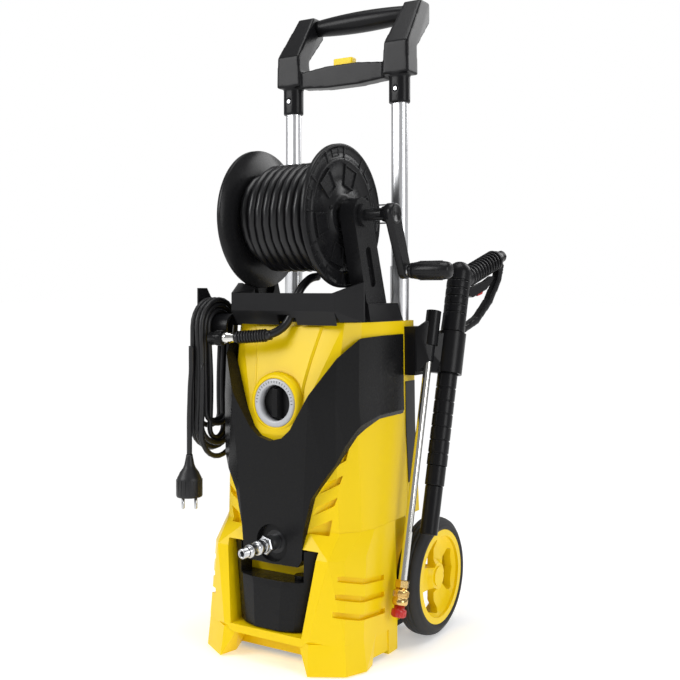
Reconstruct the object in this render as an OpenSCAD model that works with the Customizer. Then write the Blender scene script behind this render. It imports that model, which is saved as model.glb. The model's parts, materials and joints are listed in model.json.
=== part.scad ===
// Upright electric pressure washer on two wheels, with hose reel, telescopic handle, spray gun and lance.
// Lengths are in millimetres. +X is the crank side of the hose reel, +Y points to the back, +Z is up.

/* [Body] */
// Height of the yellow casing above the floor
body_h = 487; // [470:1:500]
// Thickness of the moulded casing walls
wall = 3; // [2:0.5:4]
// Plane where the front and rear covers meet
split_y = 203; // [200:1:206]

/* [Wheels] */
// Outer radius of a wheel
wheel_r = 90; // [84:1:92]
// Width of a tyre
tyre_w = 40; // [32:1:41]
// Distance from the middle plane to a wheel's outer face
wheel_out = 158.8; // [158:0.2:162]
// Height and depth of the axle
axle_y = 252; // [250:1:256]

/* [Hose reel] */
// Radius of the reel's side discs
disc_r = 105; // [96:1:106]
// Half of the distance between the outer faces of the discs
reel_half = 76; // [72:1:78]
// Height of the reel axle
reel_z = 642; // [638:1:650]
// Outer radius of the wound hose
winding_r = 81; // [70:1:84]
// Diameter of the high-pressure hose
hose_d = 12.5; // [10:0.5:13]
// Length of the crank arm between its centres
crank_len = 88; // [70:1:92]

/* [Handle] */
// Half of the distance between the two handle tubes
tube_x = 100; // [98:0.5:101]
// Height of the joint between the handle tubes and the sockets
socket_z = 823; // [800:1:840]

/* [Spray gun] */
// Lean of the hanging gun, in degrees
gun_lean = 15.6; // [14:0.1:17]
// Radius of the gun's front grip
grip_r = 15.5; // [13:0.5:16]

/* [Lance] */
// Lean of the lance in its socket, in degrees
lance_lean = 14.7; // [13:0.1:16]
// Length of the lance's steel tube
lance_len = 388; // [340:1:392]

/* [Mains cord] */
// Diameter of the mains cord
cord_d = 8; // [7:0.5:8]

/* [Hidden] */
$fn = 64;

// The origin is the middle of the footprint of everything but the cords
centre_x = 36.1;
centre_y = 188.64;

yellow = [0.93, 0.76, 0.06];
black = [0.09, 0.09, 0.1];
dark_grey = [0.2, 0.2, 0.22];
silver = [0.75, 0.76, 0.78];
brass = [0.75, 0.6, 0.3];

running = 0.05;      // radial clearance of a shaft that turns

thin = 0.02;         // thickness of a section used to build a hull

module placed() { translate([-centre_x, -centre_y, 0]) children(); }
module both_sides() { children(); mirror([1, 0, 0]) children(); }

// A bar of round section along X
module rod_x(x0, x1, y, z, r) {
  translate([x0, y, z]) rotate([0, 90, 0]) cylinder(h = x1 - x0, r = r);
}
// A bar of round section along Y
module rod_y(y0, y1, x, z, r) {
  translate([x, y1, z]) rotate([90, 0, 0]) cylinder(h = y1 - y0, r = r);
}
// A block from its lowest to its highest corner
module block(lo, hi) { translate(lo) cube(hi - lo); }

// ---- Casing sections: right-hand half outlines, front to back, at rising heights ----
function outline(half) = concat(half, [for (i = [len(half) - 1:-1:0]) [-half[i][0], half[i][1]]]);
module section(z, half) { translate([0, 0, z]) linear_extrude(thin) polygon(outline(half)); }
module loft(levels) {
  for (i = [0:len(levels) - 2])
    hull() {
      section(levels[i][0], levels[i][1]);
      section(levels[i + 1][0] - thin, levels[i + 1][1]);
    }
}
function shrink(half, t) = [for (p = half) [p[0] - t, p[1] + (p[1] < 150 ? t : 0)]];
function shrunk(levels, t) = [for (l = levels) [l[0], shrink(l[1], t)]];

// Main casing, under the black panel
casing = [
  [8, [[80, 50], [100, 52], [124, 74], [129, 120], [129, split_y]]],
  [165, [[80, 50], [100, 50], [120, 72], [126, 100], [126, split_y]]],
  [192, [[50, 33], [98, 48], [119, 75], [125.5, 100], [125.5, split_y]]],
  [326, [[50, 27], [93, 46], [110, 78], [118.5, 126], [119, split_y]]],
  [372, [[50, 36], [90, 50], [109, 80], [118, 128], [118, split_y]]],
  [body_h, [[60, 68], [92, 72], [109, 92], [116, 133], [117, split_y]]]
];
// Outer surface of the black panel
panel_skin = [
  [136, [[50, 24], [96, 40], [112, 72], [127, 100], [127.5, 198]]],
  [190, [[53, 22], [98, 41], [120, 72], [127, 100], [127.5, 198]]],
  [377, [[67, 15], [98, 38], [114, 75], [120, 126], [120.5, 198]]],
  [480, [[68, 24], [98, 44], [113, 78], [118.5, 133], [119.5, 198]]]
];
// V-shaped face of the black panel, right-hand half, from the inner curve's lowest point around
panel_face = [
  [0, 318], [20, 323], [35, 336], [46, 353], [58, 372], [78, 405], [98, 438], [114, 465],
  [124, 469], [124, 358], [113, 334], [97, 288], [66, 240], [54, 192], [51, 152], [44, 142], [0, 141]
];

wheel_top = 192;     // underside of the casing over the wheels
arch_y = 160;        // rear edge of the casing in front of the wheels
inner_x = 106;       // half width of the casing between the wheels

module casing_cavity() { loft(shrunk([for (i = [0:len(casing) - 1])
  i == 0 ? [5, casing[0][1]] : i == len(casing) - 1 ? [body_h - wall, casing[i][1]] : casing[i]], wall)); }

module panel_prism(y0, y1) {
  translate([0, y1, 0]) rotate([90, 0, 0]) linear_extrude(y1 - y0) polygon(outline(panel_face));
}

// Flared collar round the detergent tank, with its two front feet
module collar() {
  hull() {
    section(50, [[74, 6], [119, 30], [130, 62], [130, arch_y]]);
    section(158, [[97, 20], [114, 37], [127, 74], [127, arch_y]]);
    section(192, [[55, 34], [99, 48], [119.5, 75], [126, 100], [126, arch_y]]);
  }
  hull() {
    section(50, [[74, 6], [119, 30], [130, 62], [130, arch_y]]);
    section(38, [[60, 7], [118, 29], [130, 62], [130, arch_y]]);
  }
}
module foot_front() {
  hull() {
    translate([0, 0, 44]) linear_extrude(thin) polygon([[52, 12], [74, 6], [119, 30], [130, 62], [130, 96], [60, 60]]);
    translate([0, 0, 2]) linear_extrude(thin)
      polygon([[76, 0], [122, 27], [136, 60], [131, 84], [84, 62], [70, 30]]);
  }
}
module foot_rear() { block([117, 133, 2], [130, arch_y, 60]); }

tank_half_top = 77;
tank_half_low = 60;
module tank_pocket() {
  hull() {
    block([-tank_half_low - 2, -30, 50], [tank_half_low + 2, 50, 50 + thin]);
    block([-tank_half_top - 2, -30, 168], [tank_half_top + 2, 50, 168 + thin]);
  }
}

knob_z = 371;
knob_face = 36;      // depth of the casing behind the knob
outlet_z = 171;

// Chevron slots that wrap round the corner of the collar
module slot_part(a, b) {
  hull() {
    translate(a) cube([10, 6, 7], center = true);
    translate(b) cube([10, 6, 7], center = true);
  }
}
module vent_slots() {
  for (i = [0:2]) {
    slot_part([112 - i * 2, 31 - i * 4, 134 - i * 24], [128, 68 - i * 5, 124 - i * 24]);
    slot_part([128, 68 - i * 5, 124 - i * 24], [128.5, 120, 117 - i * 24]);
  }
}
// Louvres beside the black panel: scoops that are deepest at their outer end
louvres = [
  [[104.7, 66, 314], [102.5, 59, 293], [86, 42, 282], [96, 52, 305]],
  [[100.6, 54, 272.6], [98, 50, 261], [65, 35.6, 243], [72, 37, 258]],
  [[95.9, 47, 242], [91.8, 45, 230], [52, 33, 209.7], [59, 34.6, 223]],
  [[89, 44.4, 210.6], [83, 43, 180], [46, 33, 189.6], [47, 33, 191]]
];
outward = [0.5, -0.86, 0];
module louvre(q) {
  hull() {
    for (p = q) translate(p + outward * 3) cube(0.1, center = true);
    for (p = [q[0], q[1]]) translate(p - outward * 8) cube(0.1, center = true);
  }
}
// The cavity stops short behind the louvres and the slots
module cover_cavity() {
  difference() {
    casing_cavity();
    both_sides() {
      difference() {
        block([38, 20, 176], [112, 75, 322]);
        loft(shrunk(casing, 13));
      }
      block([112, 70, 58], [140, 128, 146]);
    }
  }
}

module front_cover() placed() color(yellow) {
  difference() {
    union() {
      loft(casing);
      difference() {
        collar();
        panel_prism(-20, 60);
        cover_cavity();
      }
      both_sides() foot_front();
      both_sides() foot_rear();
    }
    cover_cavity();
    tank_pocket();
    both_sides() for (q = louvres) louvre(q);
    block([-200, arch_y, -10], [200, 300, wheel_top]);
    block([-115, 60, -10], [115, 300, 26]);
    both_sides() vent_slots();
    rod_y(0, 80, 0, knob_z, 27);
    rod_y(0, 80, 0, outlet_z, 17);
  }
}

rear_depth = 256;
inlet_z = 140;
rear_upper = [
  [wheel_top, [[126, split_y + 0.2], [126, 238], [104, rear_depth]]],
  [326, [[119, split_y + 0.2], [119, 238], [100, rear_depth]]],
  [body_h, [[117, split_y + 0.2], [117, 236], [98, 250]]]
];
module tube_outline(x_size, y_size) {
  hull() {
    translate([-(x_size - y_size) / 2, 0]) circle(d = y_size);
    translate([(x_size - y_size) / 2, 0]) circle(d = y_size);
  }
}
tube_y = 222;
guide_x = 30;        // outer size of a fixed guide tube
guide_y = 24;
module tube_solid(z0, z1, x_size, y_size) {
  flat = (x_size - y_size) / 2;
  translate([tube_x - flat, tube_y, z0]) cylinder(h = z1 - z0, d = y_size);
  translate([tube_x + flat, tube_y, z0]) cylinder(h = z1 - z0, d = y_size);
  block([tube_x - flat, tube_y - y_size / 2, z0], [tube_x + flat, tube_y + y_size / 2, z1]);
}

module rear_cover() placed() color(yellow) {
  difference() {
    union() {
      loft(rear_upper);
      block([-inner_x, arch_y + 0.2, 27], [inner_x, 231, wheel_top + wall]);
    }
    loft([
      [wheel_top + wall, [[123, split_y - 5], [123, 236], [102, rear_depth - wall]]],
      [326, [[116, split_y - 5], [116, 236], [98, rear_depth - wall]]],
      [body_h - wall, [[114, split_y - 5], [114, 234], [96, 250 - wall]]]
    ]);
    block([-inner_x + wall, 150, 20], [inner_x - wall, 231 - wall, wheel_top + 10]);
    both_sides() tube_solid(190, 520, guide_x + 1, guide_y + 1);
    for (i = [-3:3]) block([-60, 240, 330 + i * 16], [60, 270, 336 + i * 16]);
    rod_y(220, 240, -60, inlet_z, 13.2);
  }
}

module front_panel() placed() color(black) {
  difference() {
    intersection() {
      loft(panel_skin);
      panel_prism(0, 210);
    }
    loft(casing);
    block([-103, 60, 0], [103, 210, 600]);
    rod_y(0, 60, 0, outlet_z, 17);
    rod_y(0, 31, 0, outlet_z, 27);
  }
}

// Dark inset strips on the sides of the rear cover
module side_strips() placed() color(dark_grey) {
  both_sides()
    difference() {
      translate([1.2, 0, 0]) intersection() {
        loft(rear_upper);
        block([90, 206, 240], [130, 236, 394]);
      }
      loft(rear_upper);
    }
}

lip_y = 44.6;        // front face of the hose tray
lip_top = 529.5;
module top_cover() placed() color(dark_grey) {
  difference() {
    union() {
      // deck
      hull() {
        section(body_h + 0.1, [[64, 66], [93, 71], [109, 91], [116, 133], [117, split_y]]);
        section(500, [[62, 74], [90, 78], [104, 96], [111, 133], [112, split_y]]);
      }
      // tray front
      block([-91, lip_y, 504], [91, lip_y + 5, lip_top]);
      hull() {
        block([-91, lip_y, 503.5], [91, lip_y + 5, 504.5]);
        block([-88, 55, 483], [88, 58, 484]);
      }
      both_sides() {
        // cheek between the tray front and the reel arm
        hull() {
          block([88, lip_y, 504], [91, lip_y + 5, lip_top]);
          block([108, 90, 488], [113, 94, 545]);
          block([80, 60, 488], [92, 72, 490]);
          block([84, 90, 488], [86, 94, 536]);
        }
        // pedestal of the reel arm
        hull() {
          block([82, 104, 488], [116, 202, 490]);
          block([84, 106, 513], [111, 196, 514]);
        }
      }
    }
    // way for the hose, down through the tray
    block([-10, lip_y + 5, 470], [22, 68, 504]);
    block([-10, lip_y - 4, 470], [14, 68, 498]);
    both_sides() tube_solid(480, 520, guide_x + 1, guide_y + 1);
  }
}

axle_z = wheel_r;
axle_r = 6;
module chassis() placed() color(black) {
  difference() {
    union() {
      block([-100, 62, 14], [100, axle_y + 16, 24]);
      block([-98, axle_y - 18, 14], [98, axle_y + 16, axle_z + 18]);
      for (x = [-60, 60]) translate([x, motor_y, 20]) cylinder(h = 42, r = 10);
    }
    rod_x(-120, 120, axle_y, axle_z, axle_r);
    both_sides() block([12, axle_y - 19, 30], [86, axle_y + 17, axle_z - 20]);
  }
}

module front_feet() placed() color(black)
  both_sides() translate([104, 46, 0]) cylinder(h = 2, r = 14);

// ---- Detergent tank ----
function tank_half(w, y_side, y_front) = [[w * 0.35, y_front + 1.5], [w * 0.7, y_front + 8], [w, y_side]];
module tank_body(t) {
  hull() {
    section(52 + t, [for (p = concat(tank_half(tank_half_low, 30, 8), [[tank_half_low, 49]]))
      [p[0] - t, p[1] + (p[1] < 49 ? t : -t)]]);
    section(112, [for (p = concat(tank_half(68.4, 36, 9), [[68.4, 49]])) [p[0] - t, p[1] + (p[1] < 49 ? t : -t)]]);
    section(166 - t, [for (p = concat(tank_half(tank_half_top, 38, 14), [[tank_half_top, 49]]))
      [p[0] - t, p[1] + (p[1] < 49 ? t : -t)]]);
  }
}
module detergent_tank() placed() color(black) {
  difference() {
    tank_body(0);
    difference() {
      tank_body(wall);
      block([-100, 0, 118], [100, 60, 200]);
    }
    block([-55, -20, 122], [55, 60, 200]);
    translate([40, 38, 100]) cylinder(h = 30, r = 7);
  }
}
module tank_cap() placed() color(black) {
  translate([40, 38, 110]) cylinder(h = 12, r = 6.9);
  translate([40, 38, 122.1]) cylinder(h = 6, r = 9);
}

// ---- Knob and switch ----
ring_out = 35.5;
ring_in = 25.7;
module knob_ring() placed() color(silver)
  difference() {
    rod_y(27.8, 50, 0, knob_z, ring_out);
    rod_y(20, 60, 0, knob_z, ring_in);
    loft(casing);
  }
module power_knob() placed() color(black) {
  rod_y(40, 46, 0, knob_z, 24.5);
  hull() {
    block([-8, 38, knob_z - 22], [8, 42, knob_z + 22]);
    block([-4.5, 29, knob_z - 20], [4.5, 30, knob_z + 20]);
  }
  rod_y(46, 58, 0, knob_z, 4);
}
module switch_unit() placed() color(dark_grey)
  difference() {
    block([-28, 52, knob_z - 30], [28, 86, knob_z + 30]);
    rod_y(50, 62, 0, knob_z, 4 + running);
  }

// ---- Motor and pump ----
motor_y = 142;
shaft_r = 6;
module motor() placed() color(silver) {
  difference() {
    union() {
      translate([0, motor_y, 262]) cylinder(h = 150, r = 50);
      translate([0, motor_y, 412]) cylinder(h = 8, r = 14);
    }
    translate([0, motor_y, 380]) cylinder(h = 60, r = shaft_r + running);
  }
}
module motor_fan() placed() color(dark_grey) {
  translate([0, motor_y, 381]) cylinder(h = 46, r = shaft_r);
  translate([0, motor_y, 425]) {
    cylinder(h = 4, r = 46);
    cylinder(h = 15, r = 16);
    for (a = [0:45:315]) rotate(a) block([13, -1.5, 3], [44, 1.5, 13]);
  }
}
module pump_body() placed() color([0.6, 0.6, 0.62]) {
  translate([0, motor_y, 190]) cylinder(h = 71.8, r = 46);
  translate([0, motor_y, 150]) cylinder(h = 40, r = 34);
}
module pump_head() placed() color([0.62, 0.6, 0.56])
  difference() {
    union() {
      translate([0, motor_y, 66]) cylinder(h = 83.8, r = 30);
      rod_y(74, motor_y, 0, outlet_z - 60, 16);
      block([-18, 74, 95], [18, 92, outlet_z + 16]);
      for (x = [-60, 60]) block([min(x, 0), 130, 62], [max(x, 0), 154, 80]);
      for (x = [-60, 60]) translate([x, 142, 62]) cylinder(h = 18, r = 14);
    }
    rod_y(60, 86, 0, outlet_z, 8);
  }
module outlet_fitting() placed() color(silver) {
  tip = -48;
  difference() {
    union() {
      rod_y(14, 73.8, 0, outlet_z, 11);
      rod_y(4, 14, 0, outlet_z, 13.5, $fn = 6);
      rod_y(-14, 4, 0, outlet_z, 10);
      rod_y(-26, -14, 0, outlet_z, 7.6);
      rod_y(-32, -26, 0, outlet_z, 9.4);
      rod_y(tip, -32, 0, outlet_z, 7);
      rod_y(73.8, 85, 0, outlet_z, 7.9);
    }
    rod_y(tip - 1, 60, 0, outlet_z, 3.5);
  }
}
module outlet_seal() placed() color(black)
  difference() {
    rod_y(31.2, 36, 0, outlet_z, 16.8);
    rod_y(30, 40, 0, outlet_z, 11.1);
  }
module inlet_fitting() placed() color(dark_grey)
  difference() {
    union() {
      rod_y(200, 244, -60, inlet_z, 13);
      rod_y(231.2, 236, -60, inlet_z, 17);
      rod_y(244, 262, -60, inlet_z, 9);
    }
    rod_y(199, 263, -60, inlet_z, 5);
  }

// ---- Wheels ----
wheel_in = wheel_out - tyre_w;
hub_r = 71.4;
module wheel_axle() placed() color(silver) {
  rod_x(-150, 150, axle_y, axle_z, axle_r);
  both_sides() rod_x(113.5, 116, axle_y, axle_z, 9);
}
module at_wheel() { translate([0, axle_y, axle_z]) rotate([0, 90, 0]) children(); }
module tyre(m) placed() mirror([m, 0, 0]) color(black)
  at_wheel() translate([0, 0, wheel_in]) rotate_extrude()
    polygon([[hub_r, 2], [hub_r + 6, 0], [wheel_r - 7, 3], [wheel_r - 2, 9], [wheel_r, 16], [wheel_r, 24],
      [wheel_r - 2, 31], [wheel_r - 7, 37], [hub_r + 6, 40], [hub_r, 38]]);
module hub(m) placed() mirror([m, 0, 0]) color(yellow)
  at_wheel() {
    translate([0, 0, wheel_in + 2]) difference() {
      cylinder(h = 36, r = hub_r - 0.02);
      translate([0, 0, -1]) cylinder(h = 40, r = 62);
    }
    difference() {
      union() {
        translate([0, 0, wheel_in - 1]) cylinder(h = 36, r = 15);
        difference() {
          rotate_extrude() translate([0, wheel_in])
            polygon([[10, 20], [40, 13], [63, 18], [63, 34], [56, 28], [40, 24], [26, 27], [20, 33], [10, 33]]);
          for (a = [90, 210, 330]) rotate(a) translate([0, 0, wheel_in]) linear_extrude(40) offset(r = 6)
            polygon([[25, 0], [45, -27], [51, 0], [45, 27]]);
        }
      }
      translate([0, 0, wheel_in - 2]) cylinder(h = 150.5 - wheel_in + 2, r = axle_r + running);
    }
  }

// ---- Hose reel ----
reel_y = 97;
reel_axle_r = 12;
arm_in = 84;
arm_out = 108;
module reel_arm(m) placed() mirror([m, 0, 0]) color(black)
  difference() {
    hull() {
      rod_x(arm_in, arm_out, reel_y, reel_z, 25);
      block([arm_in, 108, 514.1], [arm_out, 166, 516]);
    }
    rod_x(arm_in - 1, arm_out + 1, reel_y, reel_z, reel_axle_r + running);
    hull() {
      rod_x(arm_out - 5, arm_out + 1, 112, 590, 7);
      rod_x(arm_out - 5, arm_out + 1, 126, 545, 7);
    }
    hull() {
      rod_x(arm_in - 1, arm_in + 8, 112, 590, 14);
      rod_x(arm_in - 1, arm_in + 8, 130, 540, 16);
    }
  }
drum_r = 46;
disc_t = 6;
module reel_drum() placed() color(black)
  difference() {
    rod_x(-reel_half + disc_t, reel_half - disc_t, reel_y, reel_z, drum_r);
    rod_x(-reel_half + disc_t + 4, reel_half - disc_t - 4, reel_y, reel_z, drum_r - 3);
    rod_x(-reel_half, reel_half, reel_y, reel_z, reel_axle_r);
  }
module reel_disc(m) placed() mirror([m, 0, 0]) color(dark_grey)
  difference() {
    rod_x(reel_half - disc_t, reel_half, reel_y, reel_z, disc_r);
    difference() {
      rod_x(reel_half - 3, reel_half + 1, reel_y, reel_z, disc_r - 4);
      rod_x(reel_half - 4, reel_half + 2, reel_y, reel_z, disc_r - 22);
    }
    rod_x(reel_half - disc_t - 1, reel_half + 1, reel_y, reel_z, reel_axle_r);
    translate([0, reel_y, reel_z]) for (a = [36:72:324]) rotate([a, 0, 0])
      block([reel_half - 3, 50, -14], [reel_half + 1, 72, 14]);
  }
crank_x = 150;       // inner face of the crank arm
crank_t = 12;
pin_y = reel_y + crank_len * 0.41;
pin_z = reel_z - crank_len * 0.912;
pin_r = 5;
module reel_axle() placed() color(dark_grey) {
  rod_x(-arm_out - 4, arm_out + 6, reel_y, reel_z, reel_axle_r);
  rod_x(arm_out + 0.4, arm_out + 6, reel_y, reel_z, 17);
  rod_x(-arm_out - 5, -arm_out - 0.4, reel_y, reel_z, 17);
  rod_x(reel_half + 0.1, arm_in - 0.4, reel_y, reel_z, 17);
  rod_x(-arm_in + 0.4, -reel_half - 0.1, reel_y, reel_z, 17);
  rod_x(arm_out + 6, crank_x, reel_y, reel_z, 9);
}
module crank_arm() placed() color(black)
  hull() {
    rod_x(crank_x, crank_x + crank_t, reel_y, reel_z, 15);
    rod_x(crank_x, crank_x + crank_t, pin_y, pin_z, 12);
  }
grip_end = 231;
module crank_pin() placed() color(silver) {
  rod_x(crank_x + crank_t, grip_end - 4, pin_y, pin_z, pin_r);
  rod_x(crank_x + crank_t, crank_x + crank_t + 3, pin_y, pin_z, 8);
}
module crank_grip() placed() color(black)
  difference() {
    translate([crank_x + crank_t + 3.4, pin_y, pin_z]) rotate([0, 90, 0]) rotate_extrude()
      polygon([[0, 0], [10, 0], [11.5, 4], [13, 18], [14, 34], [13.4, 52], [11.5, 62], [9, 65.6], [0, 65.6]]);
    rod_x(crank_x + crank_t, grip_end - 4 + 0.5, pin_y, pin_z, pin_r + running);
  }

// ---- Cords and hose ----
// Sweeps a round tube along a list of points, with a ring at each point
function unit(v) = v / norm(v);
function along(p, i) = unit(p[min(i + 1, len(p) - 1)] - p[max(i - 1, 0)]);
function across(t, n) = unit(n - (n * t) * t);
function frames(p, i, n) = i == len(p) ? [] :
  let (t = along(p, i), m = across(t, n)) concat([[t, m]], frames(p, i + 1, m));
function ring(c, f, r, k) = [for (j = [0:k - 1]) c + r * (cos(360 * j / k) * f[1] + sin(360 * j / k) * cross(f[0], f[1]))];
module swept_tube(p, r, start_normal, k = 10) {
  f = frames(p, 0, start_normal);
  n = len(p);
  pts = [for (i = [0:n - 1]) each ring(p[i], f[i], r, k)];
  sides = [for (i = [0:n - 2]) for (j = [0:k - 1])
    [i * k + j, (i + 1) * k + j, (i + 1) * k + (j + 1) % k, i * k + (j + 1) % k]];
  polyhedron(points = pts, faces = concat([[for (j = [0:k - 1]) j]], sides,
    [[for (j = [k - 1:-1:0]) (n - 1) * k + j]]));
}

hose_route = [
  [24, 106, 554], [23, 92, 552], [21, 80, 546], [18, 69, 535], [15, 62, 520], [12, 58, 505], [8, 55, 492],
  [2, 50, 481], [-6, 42, 473], [-16, 34, 468]
];
sleeve_start = [-16, 34, 468];
sleeve_end = [-66, 21, 464];
coupling_end = [-110, 20, 462];
lead_route = [
  [-134, 178, 400], [-134, 178, 384], [-134, 177, 366], [-134, 172, 348], [-134, 162, 334], [-134, 148, 326],
  [-134, 133, 327], [-134, 120, 335], [-134, 112, 348], [-134, 109, 364], [-134, 108, 382], [-134, 108, 400]
];
tail_route = [
  [-138, 8, 450], [-138, 8, 432], [-138, 8, 412], [-139, 7, 390], [-140, 7, 366], [-140, 6, 342],
  [-140, 6, 314], [-140, 6, 287]
];

hank_y = 58;
saddle_z = 478;
saddle_r = 20;
hank_x0 = -147;
hank_x1 = -121.5;
hank_drop = 157;     // straight length of the hank

module hose_winding() placed() color(black)
  difference() {
    rod_x(-reel_half + disc_t + 0.2, reel_half - disc_t - 0.2, reel_y, reel_z, winding_r);
    rod_x(-reel_half, reel_half, reel_y, reel_z, drum_r);
  }
module hose_tail() placed() color(black) swept_tube(hose_route, hose_d / 2, [1, 0, 0]);

module along_line(a, b) {
  v = b - a;
  translate(a) rotate([0, acos(v[2] / norm(v)), atan2(v[1], v[0])]) children();
}
sleeve_len = norm(sleeve_end - sleeve_start);
module hose_sleeve() placed() color(black)
  along_line(sleeve_start, sleeve_end) {
    cylinder(h = sleeve_len, r1 = 9, r2 = 8);
    for (i = [0:7]) translate([0, 0, 3 + i * 5]) cylinder(h = 2.4, r = 9.6);
  }
module hose_coupling() placed() color(silver)
  along_line(sleeve_end, coupling_end) difference() {
    union() {
      cylinder(h = 20, r = 7.6);
      translate([0, 0, 20]) cylinder(h = 14, r = 11, $fn = 6);
      translate([0, 0, 34]) cylinder(h = norm(coupling_end - sleeve_end) - 34, r = 9.6);
    }
    translate([0, 0, 20]) cylinder(h = 60, r = 5.5);
  }

module stadium(r) {
  hull() {
    circle(r = r);
    translate([0, -hank_drop]) circle(r = r);
  }
}
module cord_hank() placed() color(black)
  translate([hank_x1, hank_y, saddle_z]) rotate([90, 0, -90]) linear_extrude(hank_x1 - hank_x0)
    difference() {
      stadium(saddle_r + 0.4 + 3 * cord_d + 1);
      stadium(saddle_r + 0.4);
    }
module cord_lead() placed() color(black) swept_tube(lead_route, cord_d / 2, [1, 0, 0]);
module cord_tail() placed() color(black) swept_tube(tail_route, cord_d / 2, [1, 0, 0]);

module cord_hook() placed() color(black)
  difference() {
    union() {
      rod_x(-149, -96, hank_y, saddle_z, saddle_r);
      translate([-152, 0, 0]) rotate([90, 0, 90]) linear_extrude(3)
        polygon([[38, 448], [38, 537], [58, 537], [84, 500], [84, 448]]);
    }
    rod_x(-146, -90, hank_y, saddle_z, saddle_r - 4);
    loft(casing);
    loft(panel_skin);
  }
module cord_gland() placed() color(black)
  difference() {
    union() {
      block([-143, 169, 425], [-110, 187, 445]);
      translate([-134, 178, 400]) cylinder(h = 25, r1 = 5.5, r2 = 8);
    }
    loft(casing);
    loft(panel_skin);
  }
module mains_plug() placed() color(black) {
  translate([-140, 6, 206]) {
    translate([0, 0, 66]) cylinder(h = 14.9, r1 = 8, r2 = 5);
    translate([0, 0, 50]) cylinder(h = 16, r1 = 17, r2 = 8);
    translate([0, 0, 19]) cylinder(h = 31, r1 = 18.5, r2 = 19.8);
    for (x = [-9.5, 9.5]) rotate(32) translate([x, 0, 0]) cylinder(h = 19.1, r = 2.4);
  }
}

// ---- Telescopic handle ----
module guide_tubes() placed() color(silver)
  both_sides() difference() {
    tube_solid(197, 571, guide_x, guide_y);
    tube_solid(190, 580, guide_x - 3, guide_y - 3);
  }
module handle_tubes() placed() color(silver)
  both_sides() difference() {
    tube_solid(450, 855, guide_x - 3.7, guide_y - 3.7);
    tube_solid(440, 860, guide_x - 7, guide_y - 7);
  }
grip_y = 277;
grip_z = 978;
module handle_frame() placed() color(black)
  difference() {
    union() {
      both_sides() {
        tube_solid(socket_z, 870, guide_x + 4, guide_y + 4);
        hull() {
          block([77, 206, 868], [123, 240, 869]);
          block([80, 206, 915], [122, 240, 918]);
        }
        hull() {
          block([80, 206, 914], [122, 240, 918]);
          block([86, 262, 962], [117, 292, 994]);
        }
      }
      hull() {
        block([-78, 210, 864], [78, 234, 890]);
        block([-30, 210, 860], [30, 234, 895]);
      }
    }
    both_sides() tube_solid(socket_z - 1, 855.1, guide_x - 3.7, guide_y - 3.7);
    block([-18, 214, 874], [18, 230, 900]);
    both_sides() rod_y(190, 212, tube_x, 845, 3.1);
  }
module handle_grip() placed() color(black)
  translate([-86, grip_y, grip_z]) rotate([0, 90, 0]) rotate_extrude()
    polygon([[0, 0], [13, 0], [15, 20], [17, 50], [17.6, 86], [17, 122], [15, 152], [13, 172], [0, 172]]);
module release_button() placed() color(yellow)
  block([-17.5, 214.5, 886], [17.5, 229.5, 906]);
module button_spring() placed() color(silver)
  translate([0, 222, 874]) difference() {
    cylinder(h = 12, r = 5);
    translate([0, 0, -1]) cylinder(h = 14, r = 4);
  }
module socket_screws() placed() color(silver)
  both_sides() rod_y(207, 211.8, tube_x, 845, 3);

// ---- Spray gun ----
gun_seat = [170, 265, 467];
gun_yaw = -8;
module at_gun() { translate(gun_seat) rotate([-gun_lean, 0, 0]) rotate([0, 0, gun_yaw]) children(); }
cup_r = 17.4;
cup_out = 21.5;
cup_len = 64;
// Plan of the handle side of the gun: [across the handle, along the barrel]
module gun_plate(points, t) {
  translate([-t / 2, 0, 0]) rotate([90, 0, 90]) linear_extrude(t) polygon(points);
}
module gun_body() placed() color(black) at_gun()
  difference() {
    union() {
      translate([0, 0, 0.4]) cylinder(h = 20, r1 = 19, r2 = 18.5);
      translate([0, 0, 20]) cylinder(h = 77, r = 18.5);
      translate([0, 0, 97]) sphere(r = 18.5);
      hull() {
        translate([0, 14, 92]) sphere(r = 16, $fn = 32);
        translate([0, 100, 150]) sphere(r = 14, $fn = 32);
      }
      translate([0, 104, 152]) rotate([-58, 0, 0]) cylinder(h = 18, r = 10);
      // finger guard
      difference() {
        gun_plate([[8, 4], [26, 6], [62, 30], [96, 72], [118, 118], [120, 146], [104, 152], [60, 120], [8, 90]], 13);
        gun_plate([[18, 20], [28, 20], [58, 42], [86, 78], [104, 116], [106, 134], [98, 136], [56, 108], [16, 76]], 20);
      }
    }
    for (z = [30:13:82]) translate([0, 0, z]) difference() {
      cylinder(h = 2.4, r = 22);
      translate([0, 0, -1]) cylinder(h = 5, r = 17);
      block([-30, 2, -2], [30, 30, 6]);
    }
    // room for the trigger in the handle
    gun_plate([[24, 70], [32, 66], [98, 116], [100, 128], [92, 132], [24, 84]], 10);
    translate([0, 0, -1]) cylinder(h = 30, r = 9);
  }
module gun_trigger() placed() color(dark_grey) at_gun()
  difference() {
    gun_plate([[25, 76], [31, 68], [40, 68], [78, 92], [95, 114], [90, 118], [72, 104], [40, 86], [28, 82]], 8);
    gun_plate([[55, 60], [76, 60], [76, 120], [55, 120]], 3.6);
  }
module trigger_lock() placed() color([0.6, 0.08, 0.06]) at_gun()
  gun_plate([[57, 75], [70, 82], [72, 88], [66, 90], [57, 81]], 3);
module gun_barrel() placed() color(brass) at_gun()
  difference() {
    translate([0, 0, -cup_len - 2]) cylinder(h = cup_len + 30.8, r = 8.9);
    translate([0, 0, -cup_len - 3]) cylinder(h = cup_len + 40, r = 3);
  }
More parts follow.
